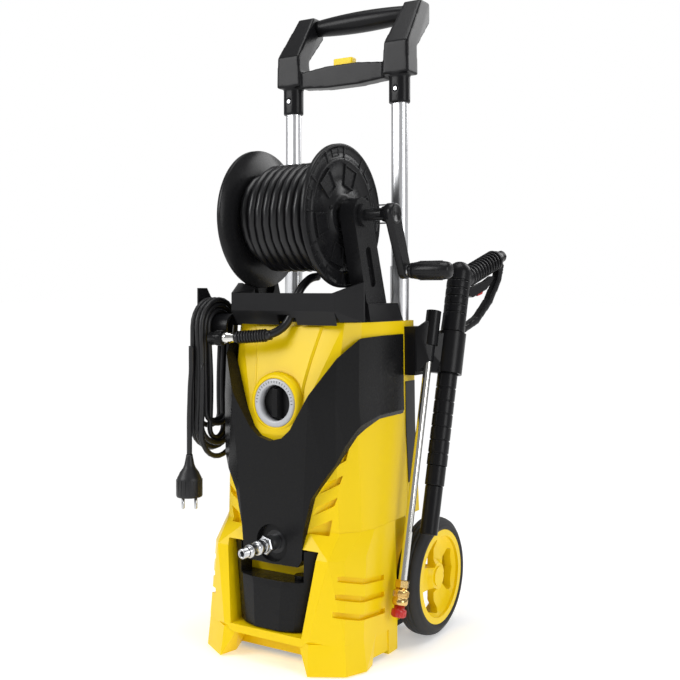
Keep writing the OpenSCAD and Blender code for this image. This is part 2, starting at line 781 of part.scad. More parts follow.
module barrel_grip() placed() color(black) at_gun()
  difference() {
    union() {
      translate([0, 0, -cup_len - 141]) cylinder(h = 139, r = grip_r);
      translate([0, 0, -cup_len - 2]) cylinder(h = cup_len + 2, r = 14);
    }
    translate([0, 0, -cup_len - 2.1]) cylinder(h = cup_len + 10, r = 9);
    for (i = [0:5]) translate([0, 0, -cup_len - 24 - i * 20]) difference() {
      cylinder(h = 2, r = 20);
      translate([0, 0, -1]) cylinder(h = 4, r = grip_r - 1.2);
    }
  }
module barrel_collars() placed() color(black) at_gun() {
  translate([0, 0, -cup_len - 171]) cylinder(h = 29.9, r = 14.6);
  translate([0, 0, -cup_len - 243]) cylinder(h = 71.9, r = 13.4);
}

// ---- Lance ----
lance_top = [150, 237.5, 487.7];
lance_r = 6.2;
module at_lance() { translate(lance_top) rotate([-lance_lean, 0, 0]) children(); }
module lance_tube() placed() color(silver) at_lance()
  difference() {
    translate([0, 0, -lance_len]) cylinder(h = lance_len + 6, r = lance_r);
    translate([0, 0, -lance_len - 1]) cylinder(h = lance_len + 8, r = lance_r - 1.2);
  }
module lance_coupler() placed() color(brass) at_lance() translate([0, 0, -lance_len]) {
  translate([0, 0, -12]) cylinder(h = 11.9, r = 10.6, $fn = 6);
  translate([0, 0, -36]) cylinder(h = 24, r = 11.6);
}
module lance_nozzle() placed() color([0.75, 0.05, 0.06]) at_lance() translate([0, 0, -lance_len]) {
  translate([0, 0, -41]) cylinder(h = 4.9, r = 8);
  translate([0, 0, -53]) cylinder(h = 12, r = 11);
}

// ---- Tool holder on the right-hand side ----
module tool_holder() placed() color(black)
  difference() {
    union() {
      block([114, 205, 404], [136, 240, 478]);
      hull() {
        block([134, 210, 410], [136, 238, 476]);
        at_lance() translate([0, 0, -64]) cylinder(h = 64, r = 8);
      }
      hull() {
        block([134, 212, 410], [136, 240, 462]);
        at_gun() translate([0, 0, -cup_len]) cylinder(h = cup_len, r = 12);
      }
      at_lance() translate([0, 0, -40]) cylinder(h = 54, r = 11.5);
      at_gun() translate([0, 0, -cup_len]) cylinder(h = cup_len, r = cup_out);
    }
    at_lance() translate([0, 0, -90]) cylinder(h = 97, r = lance_r + 0.3);
    at_gun() translate([0, 0, -cup_len - 30]) cylinder(h = cup_len + 80, r = cup_r);
    loft(rear_upper);
    loft(casing);
    loft(panel_skin);
    translate([1.3, 0, 0]) intersection() {
      loft(rear_upper);
      block([90, 206, 230], [130, 236, 395]);
    }
  }

front_cover();
rear_cover();
front_panel();
side_strips();
top_cover();
chassis();
front_feet();
detergent_tank();
tank_cap();
knob_ring();
power_knob();
switch_unit();
motor();
motor_fan();
pump_body();
pump_head();
outlet_fitting();
outlet_seal();
inlet_fitting();
wheel_axle();
tyre(1);  // tyre_left
tyre(0);  // tyre_right
hub(1);  // hub_left
hub(0);  // hub_right
reel_arm(1);  // reel_arm_left
reel_arm(0);  // reel_arm_right
reel_drum();
reel_disc(1);  // reel_disc_left
reel_disc(0);  // reel_disc_right
reel_axle();
crank_arm();
crank_pin();
crank_grip();
hose_winding();
hose_tail();
hose_sleeve();
hose_coupling();
guide_tubes();
handle_tubes();
handle_frame();
handle_grip();
release_button();
button_spring();
socket_screws();
tool_holder();
gun_body();
gun_trigger();
trigger_lock();
gun_barrel();
barrel_grip();
barrel_collars();
lance_tube();
lance_coupler();
lance_nozzle();
cord_hook();
cord_gland();
cord_lead();
cord_hank();
cord_tail();
mains_plug();
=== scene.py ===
"""Looks of an upright electric pressure washer with a hose reel, gun and lance, laid out as an add-on."""

import json
import math

import bmesh
import bpy
from bpy.props import FloatProperty, FloatVectorProperty, IntProperty, PointerProperty
from mathutils import Matrix, Vector

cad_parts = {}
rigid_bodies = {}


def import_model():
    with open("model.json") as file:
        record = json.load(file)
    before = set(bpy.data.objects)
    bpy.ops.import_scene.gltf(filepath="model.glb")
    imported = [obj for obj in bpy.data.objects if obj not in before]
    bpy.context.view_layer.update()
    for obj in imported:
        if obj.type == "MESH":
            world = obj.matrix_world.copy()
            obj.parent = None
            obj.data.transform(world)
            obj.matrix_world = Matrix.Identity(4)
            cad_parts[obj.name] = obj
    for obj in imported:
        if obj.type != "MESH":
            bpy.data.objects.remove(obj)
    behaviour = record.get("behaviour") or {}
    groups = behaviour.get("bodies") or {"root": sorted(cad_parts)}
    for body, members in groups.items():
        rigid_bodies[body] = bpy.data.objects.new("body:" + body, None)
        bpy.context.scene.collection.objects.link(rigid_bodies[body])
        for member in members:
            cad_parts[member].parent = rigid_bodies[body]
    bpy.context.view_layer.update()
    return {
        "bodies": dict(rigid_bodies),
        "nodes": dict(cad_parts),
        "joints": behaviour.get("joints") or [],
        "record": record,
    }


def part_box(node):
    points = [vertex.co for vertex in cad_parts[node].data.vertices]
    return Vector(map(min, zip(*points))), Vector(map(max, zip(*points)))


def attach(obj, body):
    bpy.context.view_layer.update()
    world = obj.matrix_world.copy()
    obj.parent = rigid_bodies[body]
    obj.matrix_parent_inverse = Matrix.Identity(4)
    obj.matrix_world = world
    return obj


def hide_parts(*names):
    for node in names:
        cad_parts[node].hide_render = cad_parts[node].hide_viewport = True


bl_info = {
    "name": "Pressure Washer Looks",
    "version": (1, 0, 0),
    "blender": (4, 5, 0),
    "location": "View3D > Sidebar > Washer",
    "description": "Builds the visible shell, hose, cord and finishes of a pressure washer",
    "category": "Add Mesh",
}

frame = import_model()
NODES = frame["nodes"]
MID_X = (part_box("tyre_left")[0].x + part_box("tyre_right")[1].x) / 2
FRONT_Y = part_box("front_cover")[0].y
MM = 0.001


def at(x, y, z):
    """A point of the washer: x from its middle plane, y back from its front feet, z up, in millimetres."""
    return Vector((MID_X + x * MM, FRONT_Y + y * MM, z * MM))


# ---------------------------------------------------------------- finishes


class Sock:
    """A socket of a finish, so that its maths is written as plain expressions."""

    def __init__(self, finish, socket):
        self.finish, self.socket = finish, socket

    def _math(self, operation, a, b):
        return self.finish.node("Math", {"operation": operation}, {0: a, 1: b})

    def __add__(self, other):
        return self._math("ADD", self, other)

    def __radd__(self, other):
        return self._math("ADD", other, self)

    def __mul__(self, other):
        return self._math("MULTIPLY", self, other)


class Finish:
    """A material and its node tree."""

    def __init__(self, name, rough, metallic=0.0, coat=0.0, specular=0.5):
        self.material = bpy.data.materials.new(name)
        self.material.use_nodes = True
        self.tree = self.material.node_tree
        self.shader = self.tree.nodes["Principled BSDF"]
        self.set("Roughness", rough)
        self.set("Metallic", metallic)
        self.set("Coat Weight", coat)
        self.set("Coat Roughness", 0.12)
        self.set("Specular IOR Level", specular)
        self.place = self.node("TexCoord", out="Object")

    def node(self, kind, settings=None, inputs=None, out=0):
        """Adds a node; its settings are set first, then its sockets."""
        made = self.tree.nodes.new("ShaderNode" + kind)
        for key, value in (settings or {}).items():
            setattr(made, key, value)
        for key, value in (inputs or {}).items():
            self.feed(made.inputs[key], value)
        return Sock(self, made.outputs[out])

    def feed(self, socket, value):
        """Links a socket to another one, or gives it a plain value."""
        if isinstance(value, Sock):
            self.tree.links.new(value.socket, socket)
        else:
            socket.default_value = value

    def set(self, name, value):
        """Sets or links one socket of the shader."""
        self.feed(self.shader.inputs[name], value)

    def noise(self, scale, detail=2.0, stretch=(1, 1, 1)):
        where = self.node("Mapping", inputs={"Vector": self.place, "Scale": stretch})
        return self.node("TexNoise", inputs={"Vector": where, "Scale": scale, "Detail": detail})

    def blend(self, mask, low, high):
        """A colour that goes from low to high as the mask rises."""
        sockets = {"Factor": mask, "A": (*low, 1.0), "B": (*high, 1.0)}
        return self.node("Mix", {"data_type": "RGBA"}, sockets, "Result")

    def bump(self, height, distance, strength=1.0):
        sockets = {"Height": height, "Distance": distance, "Strength": strength}
        self.set("Normal", self.node("Bump", inputs=sockets))


def shade(colour, k):
    return tuple(min(1.0, c * k) for c in colour)


def moulded(name, colour, rough, grain=0.00005, size=1400.0, coat=0.0, spread=0.12, specular=0.5):
    """Moulded plastic: a fine even grain, a slow drift of tone and faint rubbed patches."""
    f = Finish(name, rough, coat=coat, specular=specular)
    drift, fine, rubbed = f.noise(9.0, 3.0), f.noise(size, 2.0), f.noise(55.0, 5.0)
    mask = drift * 0.7 + rubbed * 0.3
    f.set("Base Color", f.blend(mask, shade(colour, 1 - spread), shade(colour, 1 + spread)))
    f.set("Roughness", rough - 0.06 + rubbed * 0.08 + fine * 0.05)
    f.bump(fine + rubbed * 0.15, grain, 0.6)
    return f.material


def drawn_metal(name, colour, rough, along=(1, 1, 0.02), depth=0.00002):
    """Drawn or brushed metal, with its lines along the axis that the scale squeezes."""
    f = Finish(name, rough, metallic=1.0)
    lines, cloud = f.noise(900.0, 3.0, along), f.noise(22.0, 3.0)
    f.set("Base Color", f.blend(lines * 0.5 + cloud * 0.5, shade(colour, 0.86), shade(colour, 1.06)))
    f.set("Roughness", rough - 0.06 + lines * 0.14 + cloud * 0.04)
    f.bump(lines, depth, 0.5)
    return f.material


def plated_metal(name, colour, rough):
    """Smooth plated or turned metal with faint handling marks."""
    f = Finish(name, rough, metallic=1.0)
    marks, cloud = f.noise(260.0, 4.0), f.noise(40.0, 3.0)
    f.set("Base Color", f.blend(cloud, shade(colour, 0.9), shade(colour, 1.05)))
    f.set("Roughness", rough + marks * 0.08)
    f.bump(marks, 0.00001, 0.3)
    return f.material


def soft_rubber(name, colour, rough, size=900.0):
    """Rubber or soft cord jacket: matt, with a fine bloom."""
    f = Finish(name, rough, specular=0.4)
    bloom, fine = f.noise(70.0, 4.0), f.noise(size, 2.0)
    f.set("Base Color", f.blend(bloom, shade(colour, 0.8), shade(colour, 1.5)))
    f.set("Roughness", rough - 0.05 + bloom * 0.12)
    f.bump(fine, 0.00004, 0.5)
    return f.material


def tyre_tread(name, colour):
    """Solid tyre: matt black with a fine grain and a little dust."""
    f = Finish(name, 0.62, specular=0.4)
    dust, fine = f.noise(60.0, 5.0), f.noise(1000.0, 2.0)
    f.set("Base Color", f.blend(dust, shade(colour, 0.8), shade(colour, 1.9)))
    f.set("Roughness", 0.58 + dust * 0.14)
    f.bump(fine, 0.00006, 0.6)
    return f.material


FINISHES = {}


def finish(name):
    """The finish of that name, made the first time it is asked for."""
    s = bpy.context.scene.washer_colours
    makers = {
        "yellow": lambda: moulded("yellow_casing", s.casing, 0.3, 0.00003, 1500.0, 0.0, 0.03, 0.22),
        "black": lambda: moulded("black_panel", s.panel, 0.27, 0.00004, 1500.0, specular=0.16),
        "grey": lambda: moulded("charcoal_moulding", s.tray, 0.3, 0.00006, 1200.0, specular=0.2),
        "grip": lambda: moulded("grip_black", s.grip, 0.3, 0.00007, 1100.0, specular=0.18),
        "reel": lambda: moulded("reel_black", s.reel, 0.27, 0.00004, 1400.0, specular=0.2),
        "silver": lambda: moulded("silver_ring", (0.52, 0.53, 0.55), 0.3, 0.00002, 1600.0, 0.2, 0.06),
        "red": lambda: moulded("red_nozzle", (0.5, 0.012, 0.01), 0.32, 0.00002, 1500.0, 0.2),
        "tube": lambda: drawn_metal("anodised_tube", (0.8, 0.81, 0.83), 0.3),
        "steel": lambda: plated_metal("zinc_steel", (0.6, 0.61, 0.63), 0.26),
        "chrome": lambda: plated_metal("nickel_plate", (0.78, 0.77, 0.74), 0.1),
        "cast": lambda: drawn_metal("cast_alloy", (0.55, 0.55, 0.56), 0.5, (1, 1, 1), 0.0002),
        "brass": lambda: plated_metal("turned_brass", (0.72, 0.5, 0.2), 0.2),
        "tyre": lambda: tyre_tread("tyre_rubber", (0.012, 0.012, 0.013)),
        "hose": lambda: soft_rubber("hose_jacket", (0.007, 0.007, 0.008), 0.3),
        "cord": lambda: soft_rubber("cord_jacket", (0.01, 0.01, 0.011), 0.42, 1300.0),
    }
    if name not in FINISHES:
        FINISHES[name] = makers[name]()
    return FINISHES[name]


# ---------------------------------------------------------------- mesh tools

ORIGIN, RIGHT, FRONT, UP, BACK = (0, 0, 0), (1, 0, 0), (0, -1, 0), (0, 0, 1), (0, 1, 0)
WELD_GAP, FLAT_WITHIN, ON_AXIS = 8e-5, 1.0, 1e-6


def new_piece(name, mesh):
    piece = bpy.data.objects.new(name, mesh)
    bpy.context.scene.collection.objects.link(piece)
    return piece


def from_bmesh(name, bm, smooth=True):
    mesh = bpy.data.meshes.new(name)
    bm.to_mesh(mesh)
    bm.free()
    for p in mesh.polygons:
        p.use_smooth = smooth
    return new_piece(name, mesh)


def facing_out(name, bm, smooth):
    bmesh.ops.recalc_face_normals(bm, faces=bm.faces)
    return from_bmesh(name, bm, smooth)


def lofted(name, outlines, smooth=False):
    """A closed piece through outlines of equally many points, capped at both ends."""
    bm = bmesh.new()
    rings = [[bm.verts.new(p) for p in outline] for outline in outlines]
    for a, b in zip(rings, rings[1:]):
        for i in range(len(a)):
            j = (i + 1) % len(a)
            bm.faces.new((a[i], a[j], b[j], b[i]))
    bm.faces.new(rings[0][::-1])
    bm.faces.new(rings[-1])
    return facing_out(name, bm, smooth)


def bake(piece):
    """Turns a piece with modifiers into a plain mesh."""
    deps = bpy.context.evaluated_depsgraph_get()
    mesh = bpy.data.meshes.new_from_object(piece.evaluated_get(deps))
    piece.modifiers.clear()
    piece.data = mesh
    return piece


def wear(piece, name):
    """Gives a piece its one finish."""
    piece.data.materials.clear()
    piece.data.materials.append(finish(name))
    piece.data.polygons.foreach_set("material_index", [0] * len(piece.data.polygons))
    return piece


def place(piece, body, paint, nodes=()):
    """The last step of every piece: its finish, its body and the CAD nodes it stands for."""
    if paint:
        wear(piece, paint)
    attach(piece, body)
    if nodes:
        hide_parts(*nodes)
    return piece


def soften(piece, width, segments=2, angle=30.0):
    """Rounds the edges sharper than that angle and keeps the flats flat."""
    bevel = piece.modifiers.new("edge", "BEVEL")
    bevel.width = width * MM
    bevel.segments = segments
    bevel.limit_method = "ANGLE"
    bevel.angle_limit = math.radians(angle)
    piece.modifiers.new("flats", "WEIGHTED_NORMAL")
    return bake(piece)


def clean_copy(name, node):
    """A copy of a CAD node as one closed mesh of large flat faces."""
    bm = bmesh.new()
    bm.from_mesh(NODES[node].data)
    bmesh.ops.remove_doubles(bm, verts=bm.verts, dist=WELD_GAP)
    bmesh.ops.dissolve_limit(bm, angle_limit=math.radians(FLAT_WITHIN), verts=bm.verts, edges=bm.edges,
                             use_dissolve_boundaries=False)
    return from_bmesh(name, bm)


def rounded(name, node, width, body, paint, segments=2, angle=30.0):
    """A CAD node with its moulding's rounded edges."""
    return place(soften(clean_copy(name, node), width, segments, angle), body, paint, (node,))


def melted(name, node, voxel, rounds):
    """A CAD node as one even skin with its edges worn round; voxel is in millimetres."""
    piece = clean_copy(name, node)
    skin = piece.modifiers.new("skin", "REMESH")
    skin.mode = "VOXEL"
    skin.voxel_size = voxel * MM
    relax = piece.modifiers.new("relax", "SMOOTH")
    relax.factor = 0.5
    relax.iterations = rounds
    bake(piece)
    for face in piece.data.polygons:
        face.use_smooth = True
    return piece


def carve(piece, tool):
    """Cuts a tool out of a piece and removes the tool."""
    step = piece.modifiers.new("cut", "BOOLEAN")
    step.operation = "DIFFERENCE"
    step.object = tool
    step.solver = "EXACT"
    bake(piece)
    bpy.data.objects.remove(tool)
    return piece


def slab(name, outline, depth, centre, along, up):
    """A plate: an outline in its own plane, given a depth along one direction."""
    along, up = Vector(along).normalized(), Vector(up).normalized()
    side = up.cross(along)
    return lofted(name, [[centre + (side * u + up * v + along * d) * MM for u, v in outline]
                         for d in (0, depth)])


def turned(name, profile, centre, axis, steps=64, paint=None, smooth=True):
    """A turned piece from (distance along the axis, radius) pairs; a section off the axis is closed."""
    if profile[0][1] > ON_AXIS and profile[-1] != profile[0]:
        profile = [*profile, profile[0]]
    centre, axis = Vector(centre), Vector(axis).normalized()
    side = axis.orthogonal().normalized()
    other = axis.cross(side)
    turn = [2 * math.pi * k / steps for k in range(steps)]
    bm = bmesh.new()
    rings = []
    for d, r in profile:
        rings.append([bm.verts.new(centre + (axis * d + (side * math.cos(a) + other * math.sin(a)) * r) * MM)
                      for a in (turn if r > ON_AXIS else turn[:1])])
    for a, b in zip(rings, rings[1:]):
        for k in range(steps):
            m = (k + 1) % steps
            face = dict.fromkeys((a[k % len(a)], a[m % len(a)], b[m % len(b)], b[k % len(b)]))
            if len(face) > 2:
                bm.faces.new(list(face))
    bmesh.ops.remove_doubles(bm, verts=bm.verts, dist=1e-7)
    piece = facing_out(name, bm, smooth)
    return wear(piece, paint) if paint else piece


def swept(name, points, radius, sides):
    """A round tube along points."""
    last = len(points) - 1
    normal = (points[1] - points[0]).normalized().orthogonal().normalized()
    turn = [2 * math.pi * k / sides for k in range(sides)]
    rings = []
    for i, p in enumerate(points):
        tangent = (points[min(i + 1, last)] - points[max(i - 1, 0)]).normalized()
        normal = (normal - tangent * normal.dot(tangent)).normalized()
        other = tangent.cross(normal)
        rings.append([p + (normal * math.cos(a) + other * math.sin(a)) * radius * MM for a in turn])
    return lofted(name, rings, True)


def smooth_path(route, step):
    """Points along one smooth curve through a route of the washer, about a step apart, in millimetres."""
    points = [at(*p) for p in route]
    out = []
    last = len(points) - 1
    for i in range(last):
        p0, p1, p2, p3 = points[max(i - 1, 0)], points[i], points[i + 1], points[min(i + 2, last)]
        count = max(1, round((p2 - p1).length / (step * MM)))
        for k in range(count):
            t = k / count
            out.append(0.5 * (2 * p1 + (p2 - p0) * t + (2 * p0 - 5 * p1 + 4 * p2 - p3) * t * t
                              + (3 * p1 - p0 - 3 * p2 + p3) * t**3))
    out.append(points[-1])
    return out


def path_length(points):
    return sum((b - a).length for a, b in zip(points, points[1:]))


def join(name, pieces, body, slot, *nodes):
    """Several plain meshes as one piece, each keeping its finish, put in its place."""
    bm = bmesh.new()
    mesh = bpy.data.meshes.new(name)
    for piece in pieces:
        slots = []
        for m in piece.data.materials:
            if m.name not in [x.name for x in mesh.materials]:
                mesh.materials.append(m)
            slots.append([x.name for x in mesh.materials].index(m.name))
        start = len(bm.faces)
        bm.from_mesh(piece.data)
        bm.faces.ensure_lookup_table()
        for f in bm.faces[start:]:
            f.material_index = slots[f.material_index]
        bpy.data.objects.remove(piece)
    bm.to_mesh(mesh)
    bm.free()
    return place(new_piece(name, mesh), body, None, nodes)


# ---------------------------------------------------------------- repeats


def repeat_tree(name, line):
    """A node tree that repeats its own mesh: round a circle about Z, or along a line."""
    tree = bpy.data.node_groups.new(name, "GeometryNodeTree")
    face = tree.interface
    face.new_socket("Geometry", in_out="OUTPUT", socket_type="NodeSocketGeometry")
    face.new_socket("Geometry", in_out="INPUT", socket_type="NodeSocketGeometry")
    face.new_socket("Count", in_out="INPUT", socket_type="NodeSocketInt")
    face.new_socket("Step", in_out="INPUT", socket_type="NodeSocketVector")
    face.new_socket("Finish", in_out="INPUT", socket_type="NodeSocketMaterial")
    add = tree.nodes.new
    start, end = add("NodeGroupInput"), add("NodeGroupOutput")
    points, copies = add("GeometryNodeMeshLine"), add("GeometryNodeInstanceOnPoints")
    real, paint = add("GeometryNodeRealizeInstances"), add("GeometryNodeSetMaterial")
    link = tree.links.new
    link(start.outputs["Count"], points.inputs["Count"])
    link(points.outputs["Mesh"], copies.inputs["Points"])
    link(start.outputs["Geometry"], copies.inputs["Instance"])
    if line:
        link(start.outputs["Step"], points.inputs["Offset"])
    else:
        points.inputs["Offset"].default_value = (0, 0, 0)
        index, turn = add("GeometryNodeInputIndex"), add("ShaderNodeVectorMath")
        turn.operation = "SCALE"
        link(start.outputs["Step"], turn.inputs[0])
        link(index.outputs["Index"], turn.inputs["Scale"])
        link(turn.outputs["Vector"], copies.inputs["Rotation"])
    link(copies.outputs["Instances"], real.inputs["Geometry"])
    link(real.outputs["Geometry"], paint.inputs["Geometry"])
    link(start.outputs["Finish"], paint.inputs["Material"])
    link(paint.outputs["Geometry"], end.inputs["Geometry"])
    return tree


def repeated(piece, count, step, paint, line=False, matrix=None):
    """Repeats a piece round Z or along a line, bakes it and then puts it in its place."""
    name = "repeat_along_a_line" if line else "repeat_round_an_axis"
    tree = bpy.data.node_groups.get(name) or repeat_tree(name, line)
    mod = piece.modifiers.new("repeat", "NODES")
    mod.node_group = tree
    sockets = {s.name: s.identifier for s in tree.interface.items_tree if s.in_out == "INPUT"}
    mod[sockets["Count"]] = count
    mod[sockets["Step"]] = step
    mod[sockets["Finish"]] = finish(paint)
    bake(piece)
    if matrix is not None:
        piece.data.transform(matrix)
    return wear(piece, paint)


def axis_frame(centre, along, turn=0):
    """The matrix that moves local Z to a point and a direction, and turns about it by degrees."""
    along = Vector(along).normalized()
    spot = Matrix.Translation(centre) @ along.to_track_quat("Z", "Y").to_matrix().to_4x4()
    return spot @ Matrix.Rotation(math.radians(turn), 4, "Z") if turn else spot


def ring_of(piece, count, paint, matrix, step=0):
    """Repeats a piece round Z, by an even share of the full turn or by a step in degrees."""
    return repeated(piece, count, (0, 0, math.radians(step) or 2 * math.pi / count), paint, False, matrix)


def teeth(name, foot, top, height, length, radius, count, paint, matrix, step=0):
    """Straight ribs round an axis; each goes from a half width at its foot to another at its top."""
    rib = slab(name, [(-foot, 0), (foot, 0), (top, height), (-top, height)], length,
               Vector((0, radius * MM, 0)), UP, BACK)
    return ring_of(rib, count, paint, matrix, step)


# ---------------------------------------------------------------- sizes


class WasherSizes(bpy.types.PropertyGroup):
    """Sizes that a user would change."""

    hose_diameter: FloatProperty(name="Hose diameter", description="Outer diameter of the high-pressure hose",
                                 default=0.0125, min=0.008, max=0.016, unit="LENGTH")
    cord_diameter: FloatProperty(name="Cord diameter", description="Outer diameter of the mains cord",
                                 default=0.008, min=0.006, max=0.01, unit="LENGTH")
    cord_sides: IntProperty(name="Cord sides", description="Sides of the round section of a cord",
                            default=12, min=8, max=24)
    edge: FloatProperty(name="Casing edge", description="Radius of the moulded casing's edges",
                        default=0.0028, min=0.0005, max=0.004, unit="LENGTH")
    key_power: FloatProperty(name="Key light", description="Power of the large soft light in front",
                             default=50.0, min=0.0, max=400.0, unit="POWER")
    fill_power: FloatProperty(name="Fill light", description="Power of the soft light on the right",
                              default=26.0, min=0.0, max=400.0, unit="POWER")
    top_power: FloatProperty(name="Top light", description="Power of the soft lights above and behind",
                             default=28.0, min=0.0, max=400.0, unit="POWER")
    # Between these two distances the floor's painted glow rises from light grey to white, and its own colour
    # fades out.
    floor_near: FloatProperty(name="Floor near", description="Where the floor starts to fade to white",
                              default=0.25, min=0.1, max=5.0, unit="LENGTH")
    floor_far: FloatProperty(name="Floor far", description="Where the floor is fully white",
                             default=0.95, min=0.2, max=20.0, unit="LENGTH")
    room_light: FloatProperty(name="Room light", description="Strength of the even light from all round",
                              default=0.3, min=0.0, max=2.0)


class WasherColours(bpy.types.PropertyGroup):
    """Colours of the mouldings."""

    casing: FloatVectorProperty(name="Casing", description="Colour of the main casing and wheel hubs",
                                subtype="COLOR", size=3, default=(0.9, 0.63, 0.002))
    panel: FloatVectorProperty(name="Panel", description="Colour of the front panel and tank",
                               subtype="COLOR", size=3, default=(0.0075, 0.0075, 0.008))
    tray: FloatVectorProperty(name="Tray", description="Colour of the hose tray and side strips",
                              subtype="COLOR", size=3, default=(0.011, 0.011, 0.012))
    grip: FloatVectorProperty(name="Grips", description="Colour of the handle, gun and holder",
                              subtype="COLOR", size=3, default=(0.007, 0.007, 0.008))
    reel: FloatVectorProperty(name="Reel", description="Colour of the hose reel",
                              subtype="COLOR", size=3, default=(0.011, 0.011, 0.012))
    floor: FloatVectorProperty(name="Floor", description="Colour of the floor", subtype="COLOR", size=3,
                               default=(0.9, 0.9, 0.9))


# ---------------------------------------------------------------- stage

FLOOR_HALF = 30
LIGHTS_AIM = (0, -0.1, 0.45)
CAMERA_PLACE, CAMERA_TURN = (823.64, -1113.01, 534.16), 31.957


class WASHER_OT_stage(bpy.types.Operator):
    """Makes the pale floor with its painted glow, the soft lights and the camera"""

    bl_idname = "washer.stage"
    bl_label = "Stage"

    def execute(self, context):
        scene = context.scene
        sizes, colours = scene.washer_sizes, scene.washer_colours
        bm = bmesh.new()
        bmesh.ops.create_grid(bm, x_segments=1, y_segments=1, size=FLOOR_HALF)
        floor = from_bmesh("floor", bm)
        f = Finish("pale_glowing_floor", 0.7, specular=0.2)
        cloud = f.noise(1.5, 2.0)
        away = f.node("VectorMath", {"operation": "LENGTH"}, {0: f.place}, 1)
        far = f.node("MapRange", {}, {0: away, 1: sizes.floor_near, 2: sizes.floor_far})
        # The floor glows. Near the washer a light grey painted glow lifts the shade and shadows round it and
        # lights its lower sides. Farther out the glow turns plain white and stands for the white backdrop.
        f.set("Base Color", f.blend(far, shade(colours.floor, 1.0), (0.0, 0.0, 0.0)))
        f.set("Emission Color", f.blend(far, (0.36, 0.36, 0.36), (1.0, 1.0, 1.0)))
        f.set("Emission Strength", 1.0)
        f.set("Roughness", 0.66 + cloud * 0.08)
        floor.data.materials.append(f.material)
        world = bpy.data.worlds.new("soft_white")
        world.use_nodes = True
        back = world.node_tree.nodes["Background"]
        ray = world.node_tree.nodes.new("ShaderNodeLightPath")
        level = world.node_tree.nodes.new("ShaderNodeMapRange")
        level.inputs["To Min"].default_value = sizes.room_light
        world.node_tree.links.new(ray.outputs["Is Camera Ray"], level.inputs["Value"])
        world.node_tree.links.new(level.outputs["Result"], back.inputs["Strength"])
        back.inputs["Color"].default_value = (1, 1, 1, 1)
        scene.world = world
        for name, where, size, power in (
            ("key", (-1.7, -2.4, 1.9), 1.5, sizes.key_power),
            ("fill", (2.9, -0.9, 1.2), 1.3, sizes.fill_power),
            ("top", (0.1, -0.2, 2.8), 1.6, sizes.top_power),
            ("rim", (0.9, 2.4, 2.0), 1.6, sizes.top_power),
        ):
            lamp = bpy.data.lights.new(name, "AREA")
            lamp.size = size
            lamp.energy = power
            light = bpy.data.objects.new(name, lamp)
            light.location = where
            aim = Vector(LIGHTS_AIM) - Vector(where)
            light.rotation_euler = aim.to_track_quat("-Z", "Y").to_euler()
            scene.collection.objects.link(light)
        lens = bpy.data.cameras.new("camera")
        lens.lens = 51.63
        lens.sensor_width = 36
        lens.shift_y = -0.0738
        lens.clip_end = 60
        camera = bpy.data.objects.new("camera", lens)
        camera.location = at(*CAMERA_PLACE)
        camera.rotation_euler = (math.radians(90), 0, math.radians(CAMERA_TURN))
        scene.collection.objects.link(camera)
        scene.camera = camera
        scene.view_settings.view_transform = "Standard"
        return {"FINISHED"}


# ---------------------------------------------------------------- cords

HOSE_ROUTE = [(24, 106, 554), (23, 92, 552), (21, 80, 546), (18, 69, 535), (15, 62, 520), (12, 58, 505),
              (8, 55, 492), (2, 50, 481), (-6, 42, 473), (-16, 34, 468)]
SLEEVE_START, SLEEVE_END, COUPLING_END = (-16, 34, 468), (-66, 21, 464), (-110, 20, 462)
LEAD_ROUTE = [(-134, y, z) for y, z in (
    (178, 400), (178, 384), (177, 366), (172, 348), (162, 334), (148, 326), (133, 327), (120, 335),
    (112, 348), (109, 364), (108, 382), (108, 400))]
TAIL_ROUTE = [(-138, 8, 450), (-138, 8, 432), (-138, 8, 412), (-139, 7, 390), (-140, 7, 366), (-140, 6, 342),
              (-140, 6, 314), (-140, 6, 287)]
REEL_Y, REEL_Z = 97, 642
TURN_PITCH, TURN_POINTS = 13.1, 22
WINDING_LAYERS = ((52.4, -62.0, 1, 9.5), (63.8, 62.5, -1, 9.5), (75.0, -44.0, 1, 8.0))
HANK_Y, SADDLE_Z, HANK_DROP = 58, 478, 157
LOOP_RADII, LOOP_COLUMNS = (25.0, 33.2, 41.2), (-142.4, -134.2, -126.0)
LOOP_RISES = (26, 4, 12, 3, 34, 8, 30, 10, 0)
BEND_POINTS = SIDE_POINTS = 12


def winding_route():
    """The hose on its drum: two full layers and a part of a third, ending under the drum at the tray."""
    points, angle = [], 60.0
    for r, x, way, turns in WINDING_LAYERS:
        for k in range(int(turns * TURN_POINTS)):
            t = k / TURN_POINTS
            a = math.radians(angle - 360 * t)
            points.append(at(x + way * TURN_PITCH * t, REEL_Y + r * math.cos(a), REEL_Z + r * math.sin(a)))
        angle -= 360 * turns
    return points


def cord_piece(name, points, diameter, paint, body, slot, nodes, **facts):
    """A free cord or hose: a round tube that follows its route."""
    sides = bpy.context.scene.washer_sizes.cord_sides
    piece = swept(name, points, diameter / 2 / MM, sides)
    place(piece, body, paint, nodes)
    round(path_length(points), 3)
    return piece


